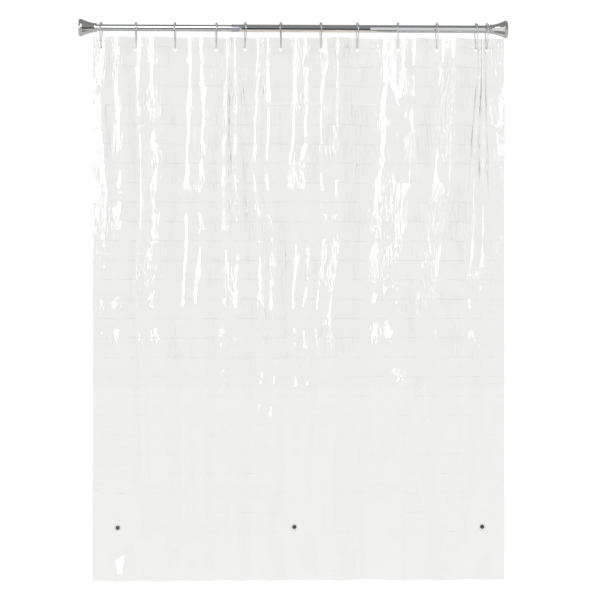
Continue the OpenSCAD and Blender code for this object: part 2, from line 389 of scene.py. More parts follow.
@dataclass(frozen=True)
class Moulded:
    """Moulded plastic, rubber or lacquer: an even colour with a fine surface grain.

    One fine noise mottles the colour a little and lifts the surface as a shallow bump.
    """

    name: str
    colour: str
    roughness: float
    grain_mm: float
    grain_height_mm: float

    def material(self) -> bpy.types.Material:
        """Build the moulded material.

        Returns:
            The new material.
        """
        material, tree, shader = new_material(self.name)
        coords = add_node(tree, "ShaderNodeTexCoord")
        grain = add_node(
            tree,
            "ShaderNodeTexNoise",
            inputs={"Scale": 1 / (self.grain_mm * MM), "Detail": 3.0},
            links={"Vector": coords.outputs["Object"]},
        )
        shade = add_node(
            tree,
            "ShaderNodeMixRGB",
            inputs={
                "Color1": linear(self.colour),
                "Color2": tuple(0.8 * c for c in linear(self.colour)[:3]) + (1.0,),
            },
            links={"Fac": grain.outputs["Fac"]},
        )
        bump = add_node(
            tree,
            "ShaderNodeBump",
            inputs={"Strength": 0.5, "Distance": self.grain_height_mm * MM},
            links={"Height": grain.outputs["Fac"]},
        )
        shader.inputs["Roughness"].default_value = self.roughness
        tree.links.new(shade.outputs["Color"], shader.inputs["Base Color"])
        tree.links.new(bump.outputs["Normal"], shader.inputs["Normal"])
        return material


class Finish(Enum):
    """The finishes of this curtain and rod."""

    # Film: clear, its gloss broken up by wrinkles; the welded band is smoother and the magnet
    # pockets are slightly hazy.
    SHEET = ClearVinyl("Clear_PVC_film", "EEEEED", 0.03, 9.0, 7.0, 0.5)
    BAND = ClearVinyl("Clear_PVC_welded_band", "FDFDFC", 0.06, 20.0, 0.5)
    POCKET = ClearVinyl("Clear_PVC_magnet_pocket", "F1F1F0", 0.10, 6.0, 0.1)
    # Plate: mirror-bright tubes and caps, softer wire, which is drawn and bent, and a lilac-grey
    # collar, as plate on plastic looks. Zinc inside is dull and finely crystalline.
    TUBE = Chrome("Chrome_plated_steel_tube", "E4E5E6", 0.05, 30.0)
    CAP = Chrome("Chrome_plated_cap", "E6E6E4", 0.06, 14.0)
    WIRE = Chrome("Chrome_plated_wire", "F2F2F2", 0.28, 3.0)
    COLLAR = Chrome("Chrome_plated_ABS_collar", "D2D1D8", 0.12, 4.0)
    STEEL = Chrome("Zinc_plated_steel", "B4B8BC", 0.28, 1.2)
    # Mouldings: matt dark pads, semi-matt pale plastic and semi-gloss black magnets.
    RUBBER = Moulded("Moulded_grey_rubber", "3A3A3C", 0.75, 1.5, 0.08)
    PLASTIC = Moulded("Moulded_polypropylene", "DAD9D4", 0.5, 2.0, 0.04)
    MAGNET = Moulded("Black_lacquered_ferrite", "0C0C0D", 0.35, 1.0, 0.03)


_built: dict[Finish, bpy.types.Material] = {}


def finish(choice: Finish) -> bpy.types.Material:
    """Return a finish's material, built once.

    Args:
        choice: The finish.

    Returns:
        Its material.
    """
    if choice not in _built:
        _built[choice] = choice.value.material()
    return _built[choice]


# ---------------------------------------------------------------- the hung sheet


def smooth_step(low: float, high: float, value: np.ndarray) -> np.ndarray:
    """Rise smoothly from 0 to 1 as value goes from low to high.

    Args:
        low: Where the rise starts.
        high: Where it ends.
        value: Where it is asked for.

    Returns:
        The shares, in the shape of value.
    """
    t = np.clip((value - low) / (high - low), 0, 1)
    return t * t * (3 - 2 * t)


def wavy_noise(
    seed: int, x: np.ndarray, z: np.ndarray, size: float, octaves: int = 3
) -> np.ndarray:
    """Smooth noise from sums of sines in seeded random directions.

    Args:
        seed: The random seed.
        x: Distances across, in metres.
        z: Distances down, in metres.
        size: The width of its largest waves, in metres.
        octaves: How many finer layers it has.

    Returns:
        Values of about -1 to 1.
    """
    rng = np.random.default_rng(seed)
    total = np.zeros(np.broadcast(x, z).shape)
    weight = 1.0
    for _ in range(octaves):
        for _ in range(5):
            turn = rng.uniform(0, 2 * math.pi)
            phase = rng.uniform(0, 2 * math.pi)
            k = 2 * math.pi / (size * rng.uniform(0.8, 1.3))
            total += weight * np.sin(k * (x * math.cos(turn) + z * math.sin(turn)) + phase) / 3
        weight *= 0.5
        size *= 0.5
    return total / 2


class Fold(Enum):
    """How the sheet's surplus stands between two rings.

    Each value holds the number of lobes, the side of the first one and how sharp its bends are.
    """

    FRONT = (1, -1, 0.01)
    BACK = (1, 1, 0.01)
    BACK_FRONT = (2, 1, 0.01)
    PLEAT = (1, -1, 6.0)


@dataclass
class HungSheet:
    """The vinyl sheet as it hangs: flat points (across, down) carried to their places in the room.

    Between two rings the sheet's surplus width stands out in folds. Down the sheet the folds even
    out and grow shallower, and the creases of its packing run across and down it.
    """

    flat_width: float = 1.778
    flat_height: float = 1.829
    hole_pitch: float = 0.1524
    hole_radius: float = 6.0 * MM
    wire_room: float = 3.1 * MM
    band_height: float = 50.0 * MM
    panels_across: int = 16
    panels_down: int = 28
    columns_a_panel: int = 17
    rows_a_panel: int = 6
    fine: int = 8
    round_off: float = 0.011
    thickness: float = 0.25 * MM
    folds: tuple[Fold, ...] = (
        Fold.FRONT,
        Fold.FRONT,
        Fold.BACK_FRONT,
        Fold.BACK_FRONT,
        Fold.BACK_FRONT,
        Fold.BACK_FRONT,
        Fold.PLEAT,
        Fold.BACK,
        Fold.PLEAT,
        Fold.PLEAT,
        Fold.BACK_FRONT,
    )
    edge_lean: tuple[float, float] = (0.006, -0.019)
    least_ratio: float = 0.68
    steepest: float = 1.0
    drift: float = 0.045
    lower_ease: float = 0.42
    unevenness: float = 0.3
    ripple: float = 0.1
    billow_height: float = 9.0 * MM
    panel_lift: float = 1.5 * MM
    panel_puff: float = 1.1 * MM
    swell_height: float = 0.8 * MM
    ring_x: list[float] = field(default_factory=list)
    hole_z: list[float] = field(default_factory=list)
    hole_s: list[float] = field(default_factory=list)
    magnets: list[Vector] = field(default_factory=list)
    left: float = 0.0
    right: float = 0.0
    top: float = 0.0
    surface: tuple[np.ndarray, np.ndarray, np.ndarray] | None = None

    def read_frame(self) -> None:
        """Take the places of the rings, holes, magnets and edges from the CAD model."""
        low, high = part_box("liner_sheet")
        self.left, self.right, self.top = low.x, high.x, high.z
        self.flat_height = high.z - low.z
        count = sum(name.startswith("ring_wire_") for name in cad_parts)
        for i in range(1, count + 1):
            wire_low, wire_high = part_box(f"ring_wire_{i}")
            self.ring_x.append((wire_low.x + wire_high.x) / 2)
            self.hole_z.append(wire_low.z + self.wire_room - self.hole_radius)
        for i in range(1, 4):
            low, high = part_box(f"magnet_{i}")
            self.magnets.append(Vector(((low.x + high.x) / 2, low.y, (low.z + high.z) / 2)))
        inset = (self.flat_width - self.hole_pitch * (count - 1)) / 2
        self.hole_s = [inset + i * self.hole_pitch for i in range(count)]

    def swing(self, s: np.ndarray, ratios: np.ndarray) -> np.ndarray:
        """How far the sheet's line turns from straight ahead, at each flat distance across it.

        Args:
            s: Flat distances across the sheet.
            ratios: For each bay, the hung distance over the flat one.

        Returns:
            Angles in radians, positive towards the back.
        """
        angle = np.zeros_like(s)
        for i, fold in enumerate(self.folds):
            lobes, side, sharp = fold.value
            share = (s - self.hole_s[i]) / self.hole_pitch
            inside = (share >= 0) & (share < 1)
            wave = np.tanh(sharp * np.cos(math.pi * lobes * share[inside])) / math.tanh(sharp)
            spread = 2.0 if sharp < 1 else 1.5
            lean = spread * math.sqrt(1 - ratios[i]) * (1 + 0.14 * (1 - ratios[i]))
            angle[inside] = side * lean * wave
        return angle

    def row(self, s: np.ndarray, down: float) -> tuple[np.ndarray, np.ndarray]:
        """One level line of the sheet.

        Args:
            s: Flat distances across the sheet.
            down: Distance below the top edge.

        Returns:
            Its x and its y.
        """
        ds = s[1] - s[0]
        ease = float(smooth_step(0.05, 0.9, np.array(down)))
        knots = [0.0, *self.hole_s, self.flat_width]
        at_top = [self.left, *self.ring_x, self.right]
        at_foot = [self.left + k / self.flat_width * (self.right - self.left) for k in knots]
        held = [a * (1 - ease) + b * ease for a, b in zip(at_top, at_foot)]
        ratios = np.clip(np.diff(held)[1:-1] / self.hole_pitch, self.least_ratio, 0.995)
        depth = np.array(down)
        drift = self.drift * ease * wavy_noise(12, s, depth, 0.75, 2)
        angle = self.swing(s + drift, ratios) * (1 - self.lower_ease * ease)
        angle = angle * (1 + self.unevenness * wavy_noise(5, s, depth, 0.45, 2))
        angle = angle + ease * self.ripple * wavy_noise(6, s, depth * 0.3, 0.13, 1)
        angle = np.clip(angle, -self.steepest, self.steepest) * self.held_straight(s, down)
        width = 2 * int(self.round_off * 2 / ds) + 1
        kernel = np.hanning(width)
        angle = np.convolve(np.pad(angle, width // 2, "edge"), kernel / kernel.sum(), "valid")
        middle = (angle[1:] + angle[:-1]) / 2
        x = np.concatenate([[0], np.cumsum(np.cos(middle)) * ds])
        y = np.concatenate([[0], np.cumsum(np.sin(middle)) * ds])
        x = x + np.interp(s, knots, np.array(held) - np.interp(knots, s, x))
        level = np.zeros(len(knots))
        level[0], level[-1] = self.edge_lean
        level *= float(smooth_step(0.05, 0.25, np.array(down)))
        y = y + np.interp(s, knots, level * (1 - ease) - np.interp(knots, s, y))
        return x, y

    def held_straight(self, s: np.ndarray, down: float) -> np.ndarray:
        """Share of the fold's turn left near the rings, which hold the top edge straight.

        Args:
            s: Flat distances across the sheet.
            down: Distance below the top edge.

        Returns:
            Shares from 0 to 1.
        """
        away = np.min(np.abs(s[:, None] - np.array(self.hole_s)[None, :]), axis=1)
        free = float(smooth_step(0.07, 0.3, np.array(down)))
        return free + (1 - free) * smooth_step(0.006, 0.028, away)

    def lines(self) -> tuple[np.ndarray, np.ndarray, np.ndarray]:
        """Work out the sheet's middle surface.

        Returns:
            Arrays of x, y and z, one row for each height and one column for each flat distance.
        """
        columns = self.panels_across * self.columns_a_panel
        s = np.linspace(0, self.flat_width, columns * self.fine + 1)
        levels = np.linspace(0, self.flat_height, self.panels_down * self.rows_a_panel + 1)
        lines = [self.row(s, t) for t in levels]
        x = np.array([line[0][:: self.fine] for line in lines])
        y = np.array([line[1][:: self.fine] for line in lines])
        flat = np.repeat(s[:: self.fine][None, :], len(levels), axis=0)
        deep = np.repeat(levels[:, None], flat.shape[1], axis=1)
        z = self.top - deep
        y = y + self.billow(flat, deep) + self.creases(flat, deep)
        for magnet in self.magnets:
            left = smooth_step(0.042, 0.11, np.hypot(x - magnet.x, (z - magnet.z) * 0.6))
            y = left * y + (1 - left) * (magnet.y - self.thickness * 1.2)
        return x, y, z

    def billow(self, s: np.ndarray, down: np.ndarray) -> np.ndarray:
        """Broad soft leaning of the sheet, none at the rings."""
        held = smooth_step(0.0, 0.5, down)
        return self.billow_height * held * wavy_noise(8, s, down, 0.8, 2)

    def creases(self, s: np.ndarray, down: np.ndarray) -> np.ndarray:
        """Height of the packing creases: each panel leans its own way and is a little puffed.

        Args:
            s: Flat distances across the sheet.
            down: Distances below its top edge.

        Returns:
            Heights in metres.
        """
        rng = np.random.default_rng(21)
        lifts = rng.uniform(-1, 1, (self.panels_down + 1, self.panels_across + 1))
        lifts += np.where(np.arange(self.panels_down + 1) % 2 > 0, 1.0, -1.0)[:, None]
        puffs = rng.uniform(-1, 1, (self.panels_down, self.panels_across))
        across = np.clip(s / self.flat_width * self.panels_across, 0, self.panels_across - 1e-6)
        deep = np.clip(down / self.flat_height * self.panels_down, 0, self.panels_down - 1e-6)
        i, j = deep.astype(int), across.astype(int)
        v, u = deep - i, across - j
        upper = lifts[i, j] * (1 - u) + lifts[i, j + 1] * u
        lower = lifts[i + 1, j] * (1 - u) + lifts[i + 1, j + 1] * u
        puff = puffs[i, j] * 16 * u * (1 - u) * v * (1 - v)
        foot = smooth_step(-0.02, 0.2, self.flat_height - down)
        edge = smooth_step(0, 0.06, down) * foot
        swell = wavy_noise(3, s, down, 0.16, 2)
        strength = 0.35 + 0.65 * smooth_step(-0.3, 0.5, wavy_noise(14, s, down, 0.6, 1))
        panels = self.panel_lift * (upper * (1 - v) + lower * v) + self.panel_puff * puff
        return (panels * strength + self.swell_height * swell) * edge

    def shell(self, name: str, rows: slice, offset: float) -> bpy.types.Object:
        """Make a closed thin shell along some of the sheet's rows.

        Args:
            name: The piece's name.
            rows: Which of the sheet's rows it covers.
            offset: How far its front face stands in front of the middle surface.

        Returns:
            The new piece.
        """
        points = np.stack([a[rows] for a in self.surface], axis=-1)
        normal = np.cross(np.gradient(points, axis=1), np.gradient(points, axis=0))
        normal = normal / np.linalg.norm(normal, axis=-1, keepdims=True)
        height, width, _ = points.shape
        front = (points - normal * offset).reshape(-1, 3)
        back = (points + normal * (self.thickness - offset)).reshape(-1, 3)
        index = np.arange(height * width).reshape(height, width)
        cells = [index[:-1, :-1], index[1:, :-1], index[1:, 1:], index[:-1, 1:]]
        quads = np.stack([c.ravel() for c in cells], axis=-1)
        total = height * width
        rim = np.concatenate([index[:, 0], index[-1, 1:], index[-2::-1, -1], index[0, -2::-1]])
        walls = np.stack([rim[1:], rim[:-1], rim[:-1] + total, rim[1:] + total], axis=-1)
        faces = np.vstack([quads, quads[:, ::-1] + total, walls])
        piece = mesh_piece(name, np.vstack([front, back]), faces.tolist())
        bm = bmesh.new()
        bm.from_mesh(piece.data)
        bmesh.ops.recalc_face_normals(bm, faces=bm.faces)
        bm.to_mesh(piece.data)
        bm.free()
        return piece

    @staticmethod
    def sharpen(piece: bpy.types.Object) -> None:
        """Shade a film smooth on its faces and sharp round its cut edges.

        Args:
            piece: The film piece.
        """
        deselect_all()
        piece.select_set(True)
        bpy.context.view_layer.objects.active = piece
        bpy.ops.object.shade_smooth_by_angle(angle=math.radians(50))

    def punch(self, piece: bpy.types.Object) -> None:
        """Punch the round ring holes through a piece.

        Args:
            piece: The film piece.
        """
        deselect_all()
        punches = []
        for x, z in zip(self.ring_x, self.hole_z):
            bpy.ops.mesh.primitive_cylinder_add(
                vertices=32,
                radius=self.hole_radius,
                depth=0.12,
                location=(x, 0, z),
                rotation=(math.pi / 2, 0, 0),
            )
            punches.append(bpy.context.object)
        for one in punches:
            one.select_set(True)
        bpy.ops.object.join()
        cutter = bpy.context.object
        cut = piece.modifiers.new("ring_holes", "BOOLEAN")
        cut.operation = "DIFFERENCE"
        cut.solver = "EXACT"
        cut.object = cutter
        deselect_all()
        bpy.context.view_layer.objects.active = piece
        piece.select_set(True)
        bpy.ops.object.modifier_apply(modifier=cut.name)
        bpy.data.objects.remove(cutter)

    def build(self) -> list[bpy.types.Object]:
        """Make the sheet and its welded top band, dressed and tied to the curtain's body.

        Returns:
            The sheet and the band.
        """
        self.read_frame()
        self.surface = self.lines()
        sheet = self.shell("liner_vinyl", slice(None), self.thickness / 2)
        sheet.data.materials.append(finish(Finish.SHEET))
        rows = self.panels_down * self.rows_a_panel
        band_rows = round(self.band_height / self.flat_height * rows) + 1
        band = self.shell("top_band", slice(0, band_rows), self.thickness * 1.9)
        band.data.materials.append(finish(Finish.BAND))
        for piece in (sheet, band):
            self.punch(piece)
            self.sharpen(piece)
            piece.visible_shadow = False
        place(sheet, "curtain", ["liner_sheet"])
        place(band, "curtain", ["header_band"])
        for piece in (sheet, band):
            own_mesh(piece)
        return [sheet, band]


# ---------------------------------------------------------------- turned and bent metal


def turned(
    name: str, outline: list[tuple[float, float]], centre: Vector, axis: Vector, steps: int = 96
) -> bpy.types.Object:
    """Turn a piece from the closed outline of its section.

    Args:
        name: The piece's name.
        outline: Pairs of distance along the axis and radius, in millimetres.
        centre: The point that the distances start from.
        axis: The unit vector that the piece is turned about.
        steps: How many facets go round it.

    Returns:
        The new piece.
    """
    across = Vector((1, 0, 0)) if abs(axis.x) < 0.5 else Vector((0, 0, 1))
    points = [centre + axis * (along * MM) + across * (radius * MM) for along, radius in outline]
    count = len(outline)
    edges = [
        (i, (i + 1) % count)
        for i in range(count)
        if outline[i][1] > 0 or outline[(i + 1) % count][1] > 0
    ]
    mesh = bpy.data.meshes.new(name)
    mesh.from_pydata([tuple(q) for q in points], edges, [])
    piece = bpy.data.objects.new(name, mesh)
    bpy.context.scene.collection.objects.link(piece)
    deselect_all()
    piece.select_set(True)
    bpy.context.view_layer.objects.active = piece
    bpy.ops.object.mode_set(mode="EDIT")
    bpy.ops.mesh.select_all(action="SELECT")
    bpy.ops.mesh.spin(steps=steps, angle=2 * math.pi, center=centre, axis=axis)
    bpy.ops.mesh.select_all(action="SELECT")
    bpy.ops.mesh.remove_doubles(threshold=2e-6)
    bpy.ops.mesh.normals_make_consistent(inside=False)
    bpy.ops.object.mode_set(mode="OBJECT")
    bpy.ops.object.shade_smooth_by_angle(angle=math.radians(32))
    return piece


def joined(name: str, parts: list[bpy.types.Object]) -> bpy.types.Object:
    """Join parts into one piece.

    Args:
        name: The piece's name.
        parts: Its parts.

    Returns:
        The piece.
    """
    deselect_all()
    for part in parts:
        part.select_set(True)
    bpy.context.view_layer.objects.active = parts[0]
    bpy.ops.object.join()
    parts[0].name = parts[0].data.name = name
    return parts[0]


@dataclass(frozen=True)
class RodMetal:
    """The rod's visible metal and plastic: two tubes, two flared caps, the collar and the pads."""

    tube_wall: float = 0.7
    edge: float = 0.25
    rim_width: float = 12.0
    rim_radius: float = 29.0
    rim_rounding: float = 1.6
    neck_radius: float = 15.0
    flare_curve: float = 1.6
    flare_steps: int = 32
    cap_wall: float = 1.4
    ridge_width: float = 3.5
    ribs: int = 7
    groove_depth: float = 0.5

    def tube(self, name: str, node: str, body: str) -> None:
        """Draw one steel tube, with its cut edges eased.

        Args:
            name: The piece's name.
            node: The CAD node that it stands for.
            body: The CAD body that it rides on.
        """
        low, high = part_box(node)
        length = (high.x - low.x) / MM
        outer = (high.z - low.z) / 2 / MM
        inner = outer - self.tube_wall
        e = self.edge
        outline = [
            (0, inner + e),
            (0, outer - e),
            (e, outer),
            (length - e, outer),
            (length, outer - e),
            (length, inner + e),
            (length - e, inner),
            (e, inner),
        ]
        piece = turned(name, outline, Vector((low.x, 0, 0)), Vector((1, 0, 0)), 128)
        piece.data.materials.append(finish(Finish.TUBE))
        place(piece, body, [node])

    def cap(self, name: str, node: str, body: str, tube_radius: float, side: int) -> None:
        """Spin one flared end cap: a stepped, rounded rim, a hollow flare and a rolled lip.

        Args:
            name: The piece's name.
            node: The CAD node that it stands for.
            body: The CAD body that it rides on.
            tube_radius: Outside radius of the tube in it, in millimetres.
            side: 1 for the left-hand end, -1 for the right-hand one.
        """
        low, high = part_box(node)
        length = (high.x - low.x) / MM
        wide, neck, rim = self.rim_radius, self.neck_radius, self.rim_width
        shares = np.linspace(0, 1, self.flare_steps + 1)
        xs = rim + shares * (length - rim - 3)
        rs = neck + (wide - 2 - neck) * (1 - shares) ** self.flare_curve
        rounding = np.linspace(0, math.pi / 2, 7)
        soft = self.rim_rounding
        outline = [
            (soft - soft * math.sin(a), wide - soft + soft * math.cos(a)) for a in rounding[::-1]
        ]
        outline += [(rim - 5.2, wide), (rim - 4.9, wide - 0.5), (rim - 4.3, wide - 0.5)]
        outline += [(rim - 4.0, wide - 0.15), (rim - 2.2, wide - 0.2), (rim - 1.3, wide - 0.7)]
        outline += [(rim - 0.9, wide - 1.6), (rim - 0.3, wide - 1.75)]
        outline += [(float(x), float(r)) for x, r in zip(xs, rs)]
        lip = np.linspace(-math.pi / 2, math.pi / 2, 9)
        outline += [
            (length - 1.5 + 1.1 * math.sin(a), neck + 0.2 + 0.75 * math.cos(a)) for a in lip
        ]
        outline += [(length, neck - 0.8), (length, tube_radius + 0.05)]
        hollow = [
            (float(x), max(float(r) - self.cap_wall, tube_radius + 0.05))
            for x, r in zip(xs[:-6], rs[:-6])
        ]
        outline += [(float(xs[-1]), tube_radius + 0.05), *hollow[::-1]]
        outline += [(6.0, hollow[0][1]), (6.0, 25.62), (0, 25.62)]
        start = low.x if side > 0 else high.x
        piece = turned(name, outline, Vector((start, 0, 0)), Vector((side, 0, 0)))
        piece.data.materials.append(finish(Finish.CAP))
        place(piece, body, [node])

    def collar(self) -> None:
        """Turn the collar: end ridge, ribs with eased edges, and the sleeve inside the tube."""
        low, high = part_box("joint_collar")
        tube_low, tube_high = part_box("outer_tube")
        ridge = (high.z - low.z) / 2 / MM
        outside = (tube_high.z - tube_low.z) / 2 / MM
        body, bore = outside - 0.2, (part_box("inner_tube")[1].z) / MM + 0.08
        length = (tube_low.x - low.x) / MM
        rib = (length - self.ridge_width) / self.ribs
        outline = [(0, bore), (0, ridge - 0.4), (0.4, ridge), (self.ridge_width - 0.5, ridge)]
        outline += [(self.ridge_width, body)]
        for k in range(self.ribs // 2):
            start = self.ridge_width + rib * (2 * k + 1)
            floor = body - self.groove_depth
            outline += [(start - 0.3, body), (start + 0.1, floor), (start + rib - 0.1, floor)]
            outline += [(start + rib + 0.3, body)]
        outline += [(length, body), (length, outside - self.tube_wall - 0.05)]
        end = (high.x - low.x) / MM
        outline += [(end, outside - self.tube_wall - 0.05), (end, bore)]
        piece = turned("joint_collar_ribbed", outline, Vector((low.x, 0, 0)), Vector((1, 0, 0)))
        piece.data.materials.append(finish(Finish.COLLAR))
        place(piece, "outer_rod", ["joint_collar"])

    def pad(self, name: str, node: str, body: str, side: int) -> None:
        """Mould one wall pad: an eased edge and rings of grip on the wall face.

        Args:
            name: The piece's name.
            node: The CAD node that it stands for.
            body: The CAD body that it rides on.
            side: 1 for the left-hand end, -1 for the right-hand one.
        """
        low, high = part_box(node)
        thick, wide = (high.x - low.x) / MM, (high.z - low.z) / 2 / MM
        outline = [(thick, 0), (thick, wide), (0.5, wide), (0, wide - 0.5)]
        radius = wide - 4
        while radius > 8:
            outline += [(0, radius), (1.0, radius - 0.2), (1.0, radius - 1.3), (0, radius - 1.5)]
            radius -= 5
        outline += [(0, 0)]
        start = low.x if side > 0 else high.x
        piece = turned(name, outline, Vector((start, 0, 0)), Vector((side, 0, 0)))
        piece.data.materials.append(finish(Finish.RUBBER))
        place(piece, body, [node])

    def build(self) -> None:
        """Make all of the rod's visible pieces."""
        inner, outer = (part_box(name)[1].z / MM for name in ("inner_tube", "outer_tube"))
        self.tube("inner_tube_plated", "inner_tube", "inner_rod")
        self.tube("outer_tube_plated", "outer_tube", "outer_rod")
        self.cap("left_cap_plated", "left_cap", "inner_rod", inner, 1)
        self.cap("right_cap_plated", "right_cap", "outer_rod", outer, -1)
        self.collar()
        self.pad("left_pad_moulded", "left_wall_pad", "inner_rod", 1)
        self.pad("right_pad_moulded", "right_wall_pad", "outer_rod", -1)


@dataclass(frozen=True)
class RollerRings:
    """Wire roller rings: a pear-shaped bent wire, ferrules, a clasp and five beads on the top arc.

    One ring is modelled, then copied to every place with its own turn about the upright.
    """

    wire: float = 1.4
    top: float = 19.5
    foot: float = 7.0
    tall: float = 85.0
    bead: float = 3.8
    beads: int = 5
    bead_step: float = 40.0
    turns: tuple[int, ...] = (-9, 8, -7, 6, 9, -8, 7, 9, -6, 8, 10, 10)

    @property
    def drop(self) -> float:
        """From the top arc's centre down to the bottom arc's centre."""
        return self.tall - self.top - self.foot

    @property
    def lean(self) -> float:
        """How far each leg leans from the upright."""
        return math.asin((self.top - self.foot) / self.drop)

    def bent_wire(self) -> bpy.types.Object:
        """Sweep a round section along the ring's closed line.

        Returns:
            The bent wire, in its own plane about the middle of its top arc.
        """
        high = np.linspace(-self.lean, math.pi + self.lean, 61)
        low = np.linspace(math.pi + self.lean, 2 * math.pi - self.lean, 31)
        arcs = [(self.top * math.cos(a), self.top * math.sin(a), a) for a in high]
        arcs += [(self.foot * math.cos(a), self.foot * math.sin(a) - self.drop, a) for a in low]
        sides = 20
        round_turns = np.linspace(0, 2 * math.pi, sides, endpoint=False)
        points = [
            (
                self.wire * math.sin(b) * MM,
                (u + self.wire * math.cos(b) * math.cos(a)) * MM,
                (v + self.wire * math.cos(b) * math.sin(a)) * MM,
            )
            for u, v, a in arcs
            for b in round_turns
        ]
        count = len(arcs)
        faces = [
            [
                i * sides + j,
                i * sides + (j + 1) % sides,
                (i + 1) % count * sides + (j + 1) % sides,
                (i + 1) % count * sides + j,
            ]
            for i in range(count)
            for j in range(sides)
        ]
        piece = mesh_piece("ring_wire_model", np.array(points), faces)
        deselect_all()
        piece.select_set(True)
        bpy.context.view_layer.objects.active = piece
        bpy.ops.object.mode_set(mode="EDIT")
        bpy.ops.mesh.select_all(action="SELECT")
        bpy.ops.mesh.normals_make_consistent(inside=False)
        bpy.ops.object.mode_set(mode="OBJECT")
        return piece

    def on_leg(self, name: str, side: int, down: float, outline: list) -> bpy.types.Object:
        """Turn a small part on one leg.

        Args:
            name: The part's name.
            side: 1 or -1, for the two legs.
            down: How far down the leg it sits, in millimetres.
            outline: Its section.

        Returns:
            The part.
        """
        along = Vector((0, -side * math.sin(self.lean), -math.cos(self.lean)))
        out = Vector((0, side * math.cos(self.lean), -math.sin(self.lean)))
        centre = (out * self.top + along * down) * MM
        return turned(name, outline, centre, along, 32)

    def wire_model(self) -> bpy.types.Object:
        """Make one ring's wire with its ferrules and clasp.

        Returns:
            The model that every ring's wire is copied from.
        """
        w = self.wire
        leg = self.drop * math.cos(self.lean)
        ferrule = [(-1, w - 0.3), (-1, w), (-0.7, w + 0.15), (0.7, w + 0.15), (1, w), (1, w - 0.3)]
        clasp = [(0, w - 0.3), (0, w + 0.5), (0.5, w + 1), (1.6, w + 1), (1.9, w + 0.7)]
        clasp += [(4.1, w + 0.7), (4.4, w + 1), (5.5, w + 1), (6, w + 0.5), (6, w - 0.3)]
        parts = [self.bent_wire()]
        parts += [self.on_leg(f"ferrule_{k}", k, leg, ferrule) for k in (1, -1)]
        parts.append(self.on_leg("clasp", 1, self.drop * 0.55, clasp))
        return joined("ring_wire_model", parts)

    def bead_model(self) -> bpy.types.Object:
        """Make one ring's beads: spheres with a bore that opens out at both ends.

        Returns:
            The model that every ring's beads are copied from.
        """
        bore = self.wire + 0.08
        open_end = bore + 0.4
        limit = math.acos(open_end / self.bead)
        arc = np.linspace(-limit, limit, 21)
        outline = [(self.bead * math.sin(a), self.bead * math.cos(a)) for a in arc]
        outline += [(1.2, bore), (-1.2, bore)]
        parts = []
        for k in range(self.beads):
            turn = math.radians(90 + (k - (self.beads - 1) / 2) * self.bead_step)
            centre = Vector((0, math.cos(turn), math.sin(turn))) * self.top * MM
            axis = Vector((0, -math.sin(turn), math.cos(turn)))
            parts.append(turned(f"bead_{k}", outline, centre, axis, 32))
        return joined("ring_bead_model", parts)

    def copy_to(self, model: bpy.types.Object, name: str, spot: Matrix) -> bpy.types.Object:
        """Copy a model, mesh and all, with its mesh moved to one ring's place.

        Args:
            model: What is copied.
            name: The copy's name.
            spot: The ring's place and turn.

        Returns:
            The copy.
        """
        piece = model.copy()
        piece.data = model.data.copy()
        piece.name = piece.data.name = name
        piece.data.transform(spot)
        bpy.context.scene.collection.objects.link(piece)
        piece.data.materials.clear()
        piece.data.materials.append(finish(Finish.WIRE))
        return piece

    def build(self) -> None:
        """Make the models, copy them to every ring and take the models away."""
        wire, beads = self.wire_model(), self.bead_model()
        for i, turn in enumerate(self.turns, start=1):
            low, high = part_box(f"ring_wire_{i}")
            centre = Vector(((low.x + high.x) / 2, 0, high.z - (self.top + self.wire) * MM))
            spot = Matrix.Translation(centre) @ Matrix.Rotation(math.radians(turn), 4, "Z")
            body = "curtain" if i == 1 else f"ring_{i}"
            bent = self.copy_to(wire, f"roller_ring_{i}", spot)
            place(bent, body, [f"ring_wire_{i}"])
            rolling = self.copy_to(beads, f"roller_beads_{i}", spot)
            place(rolling, body, [f"ring_rollers_{i}"])
        for model in (wire, beads):
            bpy.data.objects.remove(model)


@dataclass(frozen=True)
class HemMagnets:
    """Black disc magnets in round pockets of clear vinyl welded to the sheet's back."""

    edge: float = 0.4
    film: float = 0.3

    def build(self) -> None:
        """Make each magnet and its pocket."""
        for i in range(1, 4):
            low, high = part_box(f"magnet_{i}")
            rim_low, rim_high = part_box(f"magnet_patch_{i}")
            centre = Vector(((low.x + high.x) / 2, low.y, (low.z + high.z) / 2))
            thick, wide = (high.y - low.y) / MM, (high.x - low.x) / 2 / MM
            rim = (rim_high.x - rim_low.x) / 2 / MM
            tall = (rim_high.y - rim_low.y) / MM
            e, f = self.edge, self.film
            disc = [(0, 0), (0, wide - e), (e, wide), (thick - e, wide)]
            disc += [(thick, wide - e), (thick, 0)]
            magnet = turned(f"hem_magnet_{i}", disc, centre, Vector((0, 1, 0)), 48)
            magnet.data.materials.append(finish(Finish.MAGNET))
            place(magnet, f"magnet_{i}", [f"magnet_{i}"])
            film = [(0, wide + 0.02), (0, rim - 0.1), (0.1, rim), (f, rim - 0.1)]
            film += [(f, wide + 1.2), (f + 0.3, wide + 0.6), (tall - 0.7, wide + 0.4)]
            film += [(tall - 0.2, wide), (tall, wide - 0.8), (tall, 0), (thick + 0.03, 0)]
            film += [(thick + 0.03, wide - e), (thick - e, wide + 0.02)]
            pocket = turned(f"magnet_pocket_{i}", film, centre, Vector((0, 1, 0)), 64)
            pocket.data.materials.append(finish(Finish.POCKET))
            pocket.visible_shadow = False
            place(pocket, f"magnet_{i}", [f"magnet_patch_{i}"])


# ---------------------------------------------------------------- kept CAD nodes


